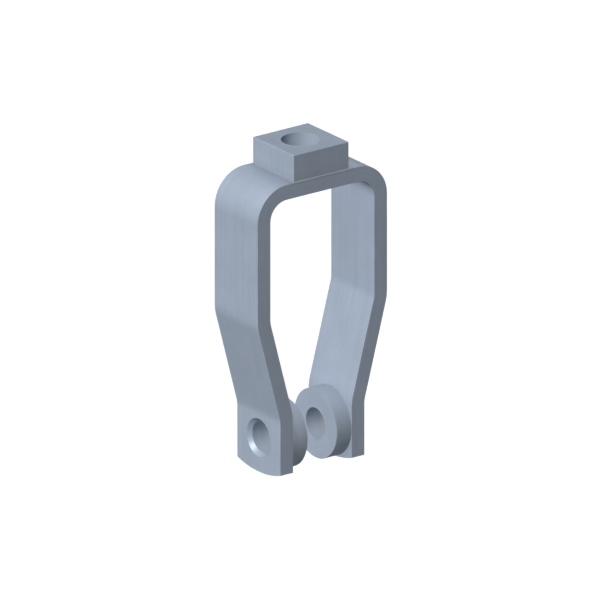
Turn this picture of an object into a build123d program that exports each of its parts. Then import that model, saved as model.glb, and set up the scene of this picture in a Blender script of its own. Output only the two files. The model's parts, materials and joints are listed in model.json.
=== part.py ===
"""Clevis fitting: a bent strap yoke, a threaded block on its crown and a boss inside each ear.

Millimetres. The origin is the middle of the pin axis. X runs along the pin, Y runs across the
width of the strap, and Z runs up through the threaded block.
"""

from build123d import *

import os
from math import radians, tan

# Strap: one length of flat bar, bent into a yoke
strap_width = 28.575  # 1 1/8 in
strap_thickness = 6.35  # 1/4 in
corner_radius = 7.94  # inside the two crown bends, 5/16 in
knee_radius = 11.11  # inside the four leg bends, 7/16 in

# Yoke: sizes over the outside faces of the bent strap
crown_spread = 63.5  # over the upper legs, 2 1/2 in
ear_spread = 41.275  # over the ears, 1 5/8 in
pin_to_crown = 109.54  # pin axis to the top of the crown, 4 5/16 in
pin_to_upper_knee = 52.4  # pin axis to where the lines of the outer faces meet, 2 1/16 in
pin_to_lower_knee = 10.9
pin_to_end = 14.29  # pin axis to the lowest point of an ear, 9/16 in
end_radius = 44.45  # rounded end of an ear, 1 3/4 in

# Pin hole, one line through both ears and both bosses
pin_hole_diameter = 12.7  # 1/2 in
countersink_depth = 1.5875  # at the outer face of each ear, 1/16 in
countersink_angle = 90.0

# Bosses
boss_gap = 14.29  # clear space between the two boss faces, 9/16 in

# Threaded block
block_side = 26.99  # square, 1 1/16 in
block_height = 11.11  # 7/16 in
thread_diameter = 15.875  # major diameter of the thread, 5/8 in
rod_clearance = 0.5  # between the rod and the wall of the hole in the crown

edge_break = 0.15  # rounding or chamfer that takes the sharpness off an edge

# Places worked out from the sizes above
ear_inside = ear_spread / 2 - strap_thickness
boss_thickness = ear_inside - boss_gap / 2
boss_diameter = strap_width  # flush with both edges of the strap
countersink_spread = countersink_depth * tan(radians(countersink_angle / 2))
crown_hole_diameter = thread_diameter + 2 * rod_clearance

os.makedirs("parts", exist_ok=True)


def write(piece, name):
    """Label a finished piece and write it as its own STEP file."""
    piece.label = name
    export_step(piece, f"parts/{name}.step")


# Strap
right_leg = [
    (crown_spread / 2, pin_to_crown),
    (crown_spread / 2, pin_to_upper_knee),
    (ear_spread / 2, pin_to_lower_knee),
    (ear_spread / 2, -pin_to_end),
]
left_leg = [(-x, z) for x, z in reversed(right_leg)]
leg_bends = [corner_radius + strap_thickness, knee_radius + strap_thickness, knee_radius]
ear_faces = [Plane(origin=(x, 0, 0), z_dir=(x, 0, 0)) for x in (-ear_spread / 2, ear_spread / 2)]

with BuildPart() as strap:
    with BuildSketch(Plane.XZ):
        with BuildLine():
            outer_face = FilletPolyline(*left_leg, *right_leg, radius=leg_bends[::-1] + leg_bends)
            offset(outer_face, -strap_thickness, side=Side.RIGHT)
        make_face()
    extrude(amount=strap_width / 2, both=True)

    side_faces = strap.faces().filter_by(Axis.Y)
    end_faces = strap.faces().sort_by(Axis.Z)[:2]
    fillet(side_faces.edges() - end_faces.edges(), edge_break)

    with BuildSketch(Plane.YZ):
        with Locations((0, end_radius / 2 - pin_to_end)):
            Rectangle(2 * end_radius, end_radius)
        with Locations((0, end_radius - pin_to_end)):
            Circle(end_radius, mode=Mode.SUBTRACT)
    extrude(amount=ear_spread, both=True, mode=Mode.SUBTRACT)

    with Locations(ear_faces):
        CounterSinkHole(
            pin_hole_diameter / 2,
            pin_hole_diameter / 2 + countersink_spread,
            strap_thickness,
            countersink_angle,
        )
    with Locations((0, 0, pin_to_crown)):
        Hole(crown_hole_diameter / 2, strap_thickness)
write(strap.part, "strap")

# Threaded block
with BuildPart() as threaded_block:
    with BuildSketch(Plane.XY.offset(pin_to_crown)):
        Rectangle(block_side, block_side)
    extrude(amount=block_height)
    seat = threaded_block.faces().sort_by(Axis.Z)[0]
    free_edges = threaded_block.edges() - seat.edges()
    chamfer(free_edges, edge_break)
    with Locations((0, 0, pin_to_crown + block_height)):
        Hole(thread_diameter / 2, block_height)
write(threaded_block.part, "threaded_block")

# Bosses
for name, ear_face in zip(("left_boss", "right_boss"), ear_faces):
    with BuildPart() as boss:
        with BuildSketch(ear_face.offset(-strap_thickness)):
            Circle(boss_diameter / 2)
            Circle(pin_hole_diameter / 2, mode=Mode.SUBTRACT)
        extrude(amount=-boss_thickness)
        free_face = boss.faces().filter_by(Axis.X).sort_by_distance((0, 0, 0))[0]
        chamfer(free_face.edges(), edge_break)
    write(boss.part, name)
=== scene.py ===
"""Clevis fitting: the finishes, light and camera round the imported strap, block and bosses.

Metres, in the frame of the CAD model: the origin is the middle of the pin axis, X runs along the
pin and Z runs up through the threaded block. The finishes work in millimetres.
"""

import json
from math import cos, radians, sin

import bpy
from mathutils import Matrix, Vector


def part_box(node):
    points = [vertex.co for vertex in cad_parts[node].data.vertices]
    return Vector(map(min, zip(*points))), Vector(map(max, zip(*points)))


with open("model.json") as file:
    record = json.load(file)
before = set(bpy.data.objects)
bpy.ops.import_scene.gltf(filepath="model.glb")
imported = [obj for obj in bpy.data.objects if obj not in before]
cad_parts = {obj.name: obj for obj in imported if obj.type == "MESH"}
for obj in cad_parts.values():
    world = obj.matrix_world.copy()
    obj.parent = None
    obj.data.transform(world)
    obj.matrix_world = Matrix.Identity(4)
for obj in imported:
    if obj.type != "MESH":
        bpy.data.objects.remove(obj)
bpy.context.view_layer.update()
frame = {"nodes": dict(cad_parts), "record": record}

# Sizes that the finishes follow, in millimetres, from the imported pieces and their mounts
mm = 1000  # to a metre
strap_low, strap_high = [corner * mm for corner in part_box("strap")]
block_low, block_high = [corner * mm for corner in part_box("threaded_block")]
boss_low, boss_high = [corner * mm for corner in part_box("right_boss")]
mounts = {mount["name"]: mount["dims"] for mount in frame["record"]["mounts"]}
half_width = strap_high.y  # also the radius of a boss
upper_leg_face = strap_high.x
ear_end = strap_low.z
crown_top = block_low.z
block_top = block_high.z
block_half = block_high.x
boss_face = boss_low.x
ear_inside = boss_high.x
pin_bore = mounts["pin_bore"]["r_mm"]
block_bore = mounts["rod_thread"]["r_mm"]

# Sizes within the pieces, in millimetres, as in the part's source
strap_thickness = 6.35
crown_bend = 7.94 + strap_thickness  # outside radius
ear_face = ear_inside + strap_thickness
upper_knee = 52.4  # above the pin
lower_knee = 10.9
ear_end_radius = 44.45
crown_hole = block_bore + 0.5
countersink_rim = pin_bore + 1.59

# Reach of the painted shade beside a joint and of the rubbed edges, in millimetres
joint_shade_reach = 4.5  # out from a joint
rubbed_reach = 0.5  # in from an edge

# Colours of the steel, each pair from its dull low spots to its clean high ones
strap_colours = (0.284, 0.333, 0.407, 1), (0.399, 0.467, 0.570, 1)
block_colours = (0.279, 0.325, 0.395, 1), (0.393, 0.457, 0.554, 1)
boss_colours = (0.292, 0.338, 0.407, 1), (0.410, 0.475, 0.572, 1)
# Greyer colour painted in the bores, to offset the blue light bounced inside them
bore_grey_against_bounce_colour = (0.407, 0.438, 0.475, 1)
# Colour of the painted shade beside the joints
joint_shade_colour = (0.217, 0.213, 0.196, 1)
rubbed_colour = (0.488, 0.544, 0.611, 1)

# Steel between bare and coated: a fifth of it mirrors, and the rest is matt
metal_share = 0.2
grazing_tint = (0.4, 0.43, 0.46, 1)  # of what it mirrors at a low angle
middle_roughness = 0.5

# What the lines, the mottle and the speckle of a surface each add to it
added_tone = (0.75, 0.5, 0.35)
added_height = (0.005, 0, 0.004)  # millimetres
added_roughness = (0, 0.15, 0.1)


class Finish:
    """A steel finish, built up from fields over the piece: distances, masks and noise."""

    def __init__(self, name, colours):
        self.dull, self.clean = colours
        self.material = bpy.data.materials.new(name)
        self.material.use_nodes = True
        self.tree = self.material.node_tree
        self.tree.nodes.clear()
        place = self.tree.nodes.new("ShaderNodeTexCoord")
        in_mm = self.tree.nodes.new("ShaderNodeVectorMath")
        in_mm.operation = "SCALE"
        in_mm.inputs["Scale"].default_value = mm
        self.tree.links.new(place.outputs["Object"], in_mm.inputs[0])
        split = self.tree.nodes.new("ShaderNodeSeparateXYZ")
        self.tree.links.new(in_mm.outputs[0], split.inputs[0])
        self.x, self.y, self.z = split.outputs

    def give(self, socket, term):
        """Set a socket to a number or a colour, or link another node's result to it."""
        if isinstance(term, (int, float, tuple)):
            socket.default_value = term
        else:
            self.tree.links.new(term, socket)

    def calc(self, operation, *terms):
        node = self.tree.nodes.new("ShaderNodeMath")
        node.operation = operation
        for socket, term in zip(node.inputs, terms):
            self.give(socket, term)
        return node.outputs[0]

    def total(self, *terms):
        result = terms[0]
        for term in terms[1:]:
            result = self.calc("ADD", result, term)
        return result

    def less(self, a, b):
        return self.calc("SUBTRACT", a, b)

    def times(self, a, b):
        return self.calc("MULTIPLY", a, b)

    def larger(self, a, b):
        return self.calc("MAXIMUM", a, b)

    def smaller(self, a, b):
        return self.calc("MINIMUM", a, b)

    def size(self, a):
        """The number without its sign."""
        return self.calc("ABSOLUTE", a)

    def shares(self, fields, amounts):
        """Sum of the fields, each times its amount."""
        return self.total(*[self.times(field, amount) for field, amount in zip(fields, amounts)])

    def distance(self, *sides):
        """Length of a line whose sides are given."""
        squares = [self.times(side, side) for side in sides]
        return self.calc("SQRT", self.total(*squares))

    def second_least(self, a, b, c):
        """Middle one of three distances to a piece's faces, which is 0 along its edges."""
        return self.larger(self.smaller(a, b), self.smaller(self.larger(a, b), c))

    def ramp(self, value, start, end, low=0, high=1, smooth=False):
        """Run from low to high as value goes from start to end, and stay there."""
        node = self.tree.nodes.new("ShaderNodeMapRange")
        node.interpolation_type = "SMOOTHSTEP" if smooth else "LINEAR"
        for socket, term in zip(node.inputs, (value, start, end, low, high)):
            self.give(socket, term)
        return node.outputs[0]

    def up_to(self, value, limit):
        """1 up to a surface at the limit, and 0 just past it."""
        return self.ramp(value, limit + 0.06, limit + 0.03)

    def shade_beside_joint(self, distance, share):
        """Painted shade beside a joint, which is at distance 0."""
        return self.ramp(distance, 0, joint_shade_reach, share, 0, smooth=True)

    def noise(self, place, sizes, detail, coarseness, seed):
        """Even noise round 0, between about -0.5 and 0.5, with a size along each coordinate."""
        where = self.tree.nodes.new("ShaderNodeCombineXYZ")
        for socket, coordinate, size in zip(where.inputs, place, sizes):
            self.give(socket, self.times(coordinate, 1 / size))
        node = self.tree.nodes.new("ShaderNodeTexNoise")
        node.noise_dimensions = "4D"
        node.inputs["Scale"].default_value = 1
        node.inputs["Detail"].default_value = detail
        node.inputs["Roughness"].default_value = coarseness
        self.give(node.inputs["W"], seed)
        self.tree.links.new(where.outputs[0], node.inputs["Vector"])
        return self.less(node.outputs[0], 0.5)

    def lines(self, width, length, across, deep, along, seed=0.0):
        """Lines left by the rolls or by a tool."""
        return self.noise((across, deep, along), (width, width, length), 4, 0.65, seed)

    def patches(self, size, seed):
        """Patches of one size in every direction."""
        return self.noise((self.x, self.y, self.z), (size, size, size), 2, 0.5, seed)

    def either(self, mask, off, on):
        """Cross from one field to another by a mask."""
        node = self.tree.nodes.new("ShaderNodeMix")
        self.give(node.inputs[0], mask)
        self.give(node.inputs[2], off)
        self.give(node.inputs[3], on)
        return node.outputs[0]

    def tint(self, mask, off, on):
        """Cross from one colour to another by a mask."""
        node = self.tree.nodes.new("ShaderNodeMix")
        node.data_type = "RGBA"
        self.give(node.inputs[0], mask)
        self.give(node.inputs[6], off)
        self.give(node.inputs[7], on)
        return node.outputs[2]

    def finish(self, lines, mottle, painted_light_and_shade, bore_grey_against_bounce, joint_shade, to_corner, worn, rougher=0):
        """Put the fields on the shader, under a fine speckle.

        The third field is painted light and shade, added to the tone, and rougher is added to the
        roughness. The fourth is the share of grey painted in a bore against the light bounced
        there, and the fifth the share of painted shade beside a joint. At a broken edge, where
        to_corner is small, the share worn is rubbed bright, more or less of it by the mottle.
        """
        speckle = self.patches(size=0.5, seed=8)
        marks = lines, mottle, speckle
        # The tone takes the marks, and on top of them the painted light and shade
        tone = self.total(self.shares(marks, added_tone), painted_light_and_shade, 0.5)
        at_edge = self.ramp(to_corner, rubbed_reach, rubbed_reach / 5, smooth=True)
        rubbed = self.times(at_edge, self.total(mottle, worn))
        colour = self.tint(tone, self.dull, self.clean)
        # Then the grey painted in the bores against bounce light, and the painted shade beside
        # the joints
        colour = self.tint(bore_grey_against_bounce, colour, bore_grey_against_bounce_colour)
        colour = self.tint(joint_shade, colour, joint_shade_colour)
        colour = self.tint(rubbed, colour, rubbed_colour)
        relief = self.tree.nodes.new("ShaderNodeBump")
        relief.inputs["Strength"].default_value = 1
        relief.inputs["Distance"].default_value = 0.001
        self.give(relief.inputs["Height"], self.shares(marks, added_height))
        steel = self.tree.nodes.new("ShaderNodeBsdfPrincipled")
        steel.inputs["Metallic"].default_value = metal_share
        steel.inputs["Specular IOR Level"].default_value = 0
        steel.inputs["Specular Tint"].default_value = grazing_tint
        roughness = self.total(self.shares(marks, added_roughness), rougher, middle_roughness)
        self.give(steel.inputs["Roughness"], roughness)
        self.give(steel.inputs["Base Color"], colour)
        self.give(steel.inputs["Normal"], relief.outputs[0])
        output = self.tree.nodes.new("ShaderNodeOutputMaterial")
        self.give(output.inputs["Surface"], steel.outputs[0])
        return self.material


def rolled_strap():
    """Flat bar as rolled and bent: lines along the bar round every bend, turned holes."""
    f = Finish("rolled_strap_steel", strap_colours)
    side = f.size(f.x)
    from_pin = f.distance(f.y, f.z)
    from_rod = f.distance(f.x, f.y)

    # Depth in the bar, out from a line that stays parallel to it round the bends
    leg_face = f.ramp(f.z, lower_knee, upper_knee, ear_face, upper_leg_face)
    beyond_leg = f.larger(f.less(side, f.less(leg_face, crown_bend)), 0)
    beyond_crown = f.larger(f.less(f.z, crown_top - crown_bend), 0)
    depth = f.distance(beyond_leg, beyond_crown)
    to_outside = f.less(crown_bend, depth)
    to_inside = f.less(depth, crown_bend - strap_thickness)

    # Rolled lines, which differ from leg to leg, and rings where a hole is turned
    along = f.less(f.z, side)
    drift = f.times(f.x, 0.01)
    rolled = f.lines(width=0.9, length=50, across=depth, deep=f.y, along=along, seed=drift)
    rings = f.lines(width=0.5, length=20, across=from_pin, deep=f.x, along=f.z)
    pin_hole = f.up_to(from_pin, countersink_rim)
    pin_wall = f.up_to(from_pin, pin_bore)
    rod_wall = f.up_to(from_rod, crown_hole)
    lines = f.either(f.larger(pin_hole, rod_wall), rolled, rings)
    countersink = f.less(pin_hole, pin_wall)
    # Painted shade in the countersink, which tones down its highlight
    painted_light_and_shade = f.times(countersink, -0.22)
    # Grey painted on the pin and rod hole walls, against the light bounced in them
    bore_grey_against_bounce = f.times(f.larger(pin_wall, rod_wall), 0.3)

    # Painted shade beside the joints with the block and the bosses, which reaches a third as far
    # into the bar
    past_block = f.larger(f.less(f.larger(side, f.size(f.y)), block_half), 0)
    past_boss = f.larger(f.less(from_pin, half_width), 0)
    from_block = f.distance(past_block, f.times(to_outside, 3))
    from_boss = f.distance(past_boss, f.times(f.less(side, ear_inside), 3))
    joint_shade = f.larger(f.shade_beside_joint(from_block, share=0.4), f.shade_beside_joint(from_boss, share=0.1))

    # Edges, the rounded ends of the ears among them
    to_edge = f.less(half_width, f.size(f.y))
    from_end_centre = f.distance(f.y, f.less(f.z, ear_end + ear_end_radius))
    below_pin = f.ramp(f.z, 0, -1)
    far_off = 100
    to_end = f.either(below_pin, far_off, f.less(ear_end_radius, from_end_centre))
    to_corner = f.second_least(to_edge, f.smaller(to_outside, to_inside), to_end)
    mottle = f.patches(size=11, seed=3)
    return f.finish(lines, mottle, painted_light_and_shade, bore_grey_against_bounce, joint_shade, to_corner, worn=0.15)


def machined_block():
    """Square bar cut to length: lines along its sides, a faced top darkened with painted shade,
    and a hole cut with a boring tool, with painted light in it.
    """
    f = Finish("machined_block_steel", block_colours)
    from_rod = f.distance(f.x, f.y)
    drawn = f.lines(width=0.8, length=25, across=f.x, deep=f.y, along=f.z)
    faced = f.lines(width=0.6, length=25, across=from_rod, deep=f.z, along=f.x, seed=5)
    to_top = f.less(block_top, f.z)
    on_top = f.up_to(to_top, 0)
    in_bore = f.up_to(from_rod, block_bore)
    lines = f.either(f.larger(on_top, in_bore), drawn, faced)
    # Painted light in the bore, against the shade inside it, and painted shade on the top face,
    # which the light makes too bright
    painted_light_and_shade = f.shares((in_bore, on_top), (0.3, -0.12))
    # Grey painted in the bore, against the light bounced in it
    bore_grey_against_bounce = f.times(in_bore, 0.2)
    # Painted shade on the lower sides, beside the joint with the strap
    joint_shade = f.shade_beside_joint(f.less(f.z, crown_top), share=0.16)

    to_side = f.less(block_half, f.size(f.x))
    to_front = f.less(block_half, f.size(f.y))
    to_rim = f.distance(f.less(from_rod, block_bore), to_top)
    to_corner = f.smaller(f.second_least(to_side, to_front, to_top), to_rim)
    mottle = f.patches(size=8, seed=13)
    return f.finish(lines, mottle, painted_light_and_shade, bore_grey_against_bounce, joint_shade, to_corner, worn=0.15)


def turned_boss():
    """Disc turned in a lathe: rings on its face, lines round its barrel and bore, a rim left
    rough by the file and darkened with painted shade, and a little painted light in the bore.
    """
    f = Finish("turned_boss_steel", boss_colours)
    from_pin = f.distance(f.y, f.z)
    from_middle = f.size(f.x)
    lines = f.lines(width=0.6, length=25, across=from_pin, deep=f.x, along=f.z)
    in_bore = f.up_to(from_pin, pin_bore)
    # Grey painted in the bore, against the light bounced in it
    bore_grey_against_bounce = f.times(in_bore, 0.3)
    # Painted shade on the barrel beside the ears
    joint_shade = f.shade_beside_joint(f.less(ear_inside, from_middle), share=0.18)

    to_rim = f.less(half_width, from_pin)
    to_bore = f.less(from_pin, pin_bore)
    to_corner = f.distance(f.smaller(to_rim, to_bore), f.less(from_middle, boss_face))
    # Rim left rougher, and darkened with painted shade that damps its highlight; a little painted
    # light in the bore
    filed_and_shaded_rim = f.ramp(to_corner, 0.2, 0.15)
    painted_light_and_shade = f.shares((in_bore, filed_and_shaded_rim), (0.08, -0.4))
    rougher = f.times(filed_and_shaded_rim, 0.4)
    mottle = f.patches(size=8, seed=23)
    return f.finish(lines, mottle, painted_light_and_shade, bore_grey_against_bounce, joint_shade, to_corner, worn=0.02, rougher=rougher)


boss_steel = turned_boss()
finishes = {
    "strap": rolled_strap(),
    "threaded_block": machined_block(),
    "left_boss": boss_steel,
    "right_boss": boss_steel,
}
for node, steel in finishes.items():
    for material_slot in frame["nodes"][node].material_slots:
        material_slot.material = steel


def lamp(name, towards, strength, spread, shadow=False, body=True, sheen=True):
    """Hang a broad lamp far off in the direction given. Spread is its width in degrees.

    body is whether it lights the surface's own colour, and sheen whether it makes highlights.
    """
    light = bpy.data.lights.new(name, "SUN")
    light.energy = strength
    light.angle = radians(spread)
    light.use_shadow = shadow
    hung = bpy.data.objects.new(name, light)
    hung.rotation_euler = Vector(towards).to_track_quat("Z", "Y").to_euler()
    hung.visible_diffuse = body
    hung.visible_glossy = sheen
    bpy.context.scene.collection.objects.link(hung)


key = (-0.730, -0.196, 0.654)
low_fill = (0.342, -0.537, -0.771)
back_fill = (0.60, 0.80, 0.0)
lamp("key_light", key, strength=3.58, spread=12)
lamp("soft_key_light", key, strength=0.20, spread=40, shadow=True)
lamp("sheen_light", key, strength=1.55, spread=12, body=False)
lamp("low_fill_light", low_fill, strength=0.26, spread=30)
lamp("back_fill_light", back_fill, strength=1.9, spread=40, shadow=True, sheen=False)


def seen_directly(tree):
    """1 for what the camera sees, straight or in a reflection, and 0 for light on the object."""
    path = tree.nodes.new("ShaderNodeLightPath")
    result = path.outputs["Is Camera Ray"]
    for ray in ("Is Glossy Ray", "Is Transmission Ray"):
        most = tree.nodes.new("ShaderNodeMath")
        most.operation = "MAXIMUM"
        tree.links.new(result, most.inputs[0])
        tree.links.new(path.outputs[ray], most.inputs[1])
        result = most.outputs[0]
    return result


def mixed(tree, share, first, second):
    """Mix two shaders, with the share given of the second."""
    mix = tree.nodes.new("ShaderNodeMixShader")
    tree.links.new(share, mix.inputs[0])
    tree.links.new(first.outputs[0], mix.inputs[1])
    tree.links.new(second.outputs[0], mix.inputs[2])
    return mix


def studio_world():
    """White wherever it is seen, with only a little soft light from it on the object."""
    world = bpy.data.worlds.new("studio")
    world.use_nodes = True
    tree = world.node_tree
    tree.nodes.clear()
    soft_light = tree.nodes.new("ShaderNodeBackground")
    soft_light.inputs["Strength"].default_value = 0.02
    white = tree.nodes.new("ShaderNodeBackground")
    for background in (soft_light, white):
        background.inputs["Color"].default_value = (1, 1, 1, 1)
    chosen = mixed(tree, seen_directly(tree), soft_light, white)
    output = tree.nodes.new("ShaderNodeOutputWorld")
    tree.links.new(chosen.outputs[0], output.inputs["Surface"])
    bpy.context.scene.world = world


def pale_floor():
    """White floor under the ear ends. It throws little light up, and isn't seen from below."""
    bpy.ops.object.select_all(action="DESELECT")
    bpy.ops.mesh.primitive_plane_add(size=6, location=(0, 0, 0))
    floor = bpy.context.object
    floor.name = "floor"
    floor.data.transform(Matrix.Translation((0, 0, ear_end / mm)))
    paint = bpy.data.materials.new("pale_floor")
    paint.use_nodes = True
    tree = paint.node_tree
    tree.nodes.clear()
    glow = tree.nodes.new("ShaderNodeEmission")
    glow.inputs["Strength"].default_value = 0.26
    pale = tree.nodes.new("ShaderNodeBsdfDiffuse")
    pale.inputs["Color"].default_value = (0.9, 0.9, 0.9, 1)
    white = tree.nodes.new("ShaderNodeAddShader")
    tree.links.new(glow.outputs[0], white.inputs[0])
    tree.links.new(pale.outputs[0], white.inputs[1])
    grey = tree.nodes.new("ShaderNodeBsdfDiffuse")
    grey.inputs["Color"].default_value = (0.03, 0.03, 0.03, 1)
    top = mixed(tree, seen_directly(tree), grey, white)
    side = tree.nodes.new("ShaderNodeNewGeometry")
    clear = tree.nodes.new("ShaderNodeBsdfTransparent")
    one_sided = mixed(tree, side.outputs["Backfacing"], top, clear)
    output = tree.nodes.new("ShaderNodeOutputMaterial")
    tree.links.new(one_sided.outputs[0], output.inputs["Surface"])
    floor.data.materials.append(paint)


def photo_camera():
    """Camera without perspective, at the photograph's angle."""
    picture_width = 600  # pixels
    pixel = 0.000394  # metres on the object
    turn = radians(-36.477)
    tilt = radians(20.03)
    rightward = -0.000323  # from the middle of the pin to the middle of the picture
    upward = 0.050030
    back = Vector((sin(turn) * cos(tilt), -cos(turn) * cos(tilt), sin(tilt)))
    right = Vector((cos(turn), sin(turn), 0))
    up = back.cross(right)
    lens = bpy.data.cameras.new("photo_camera")
    lens.type = "ORTHO"
    lens.ortho_scale = picture_width * pixel
    lens.clip_start = 0.01
    lens.clip_end = 20
    camera = bpy.data.objects.new("photo_camera", lens)
    camera.location = back + right * rightward + up * upward
    camera.rotation_euler = Matrix((right, up, back)).transposed().to_euler()
    bpy.context.scene.collection.objects.link(camera)
    bpy.context.scene.camera = camera


studio_world()
pale_floor()
photo_camera()
bpy.context.scene.view_settings.view_transform = "Standard"
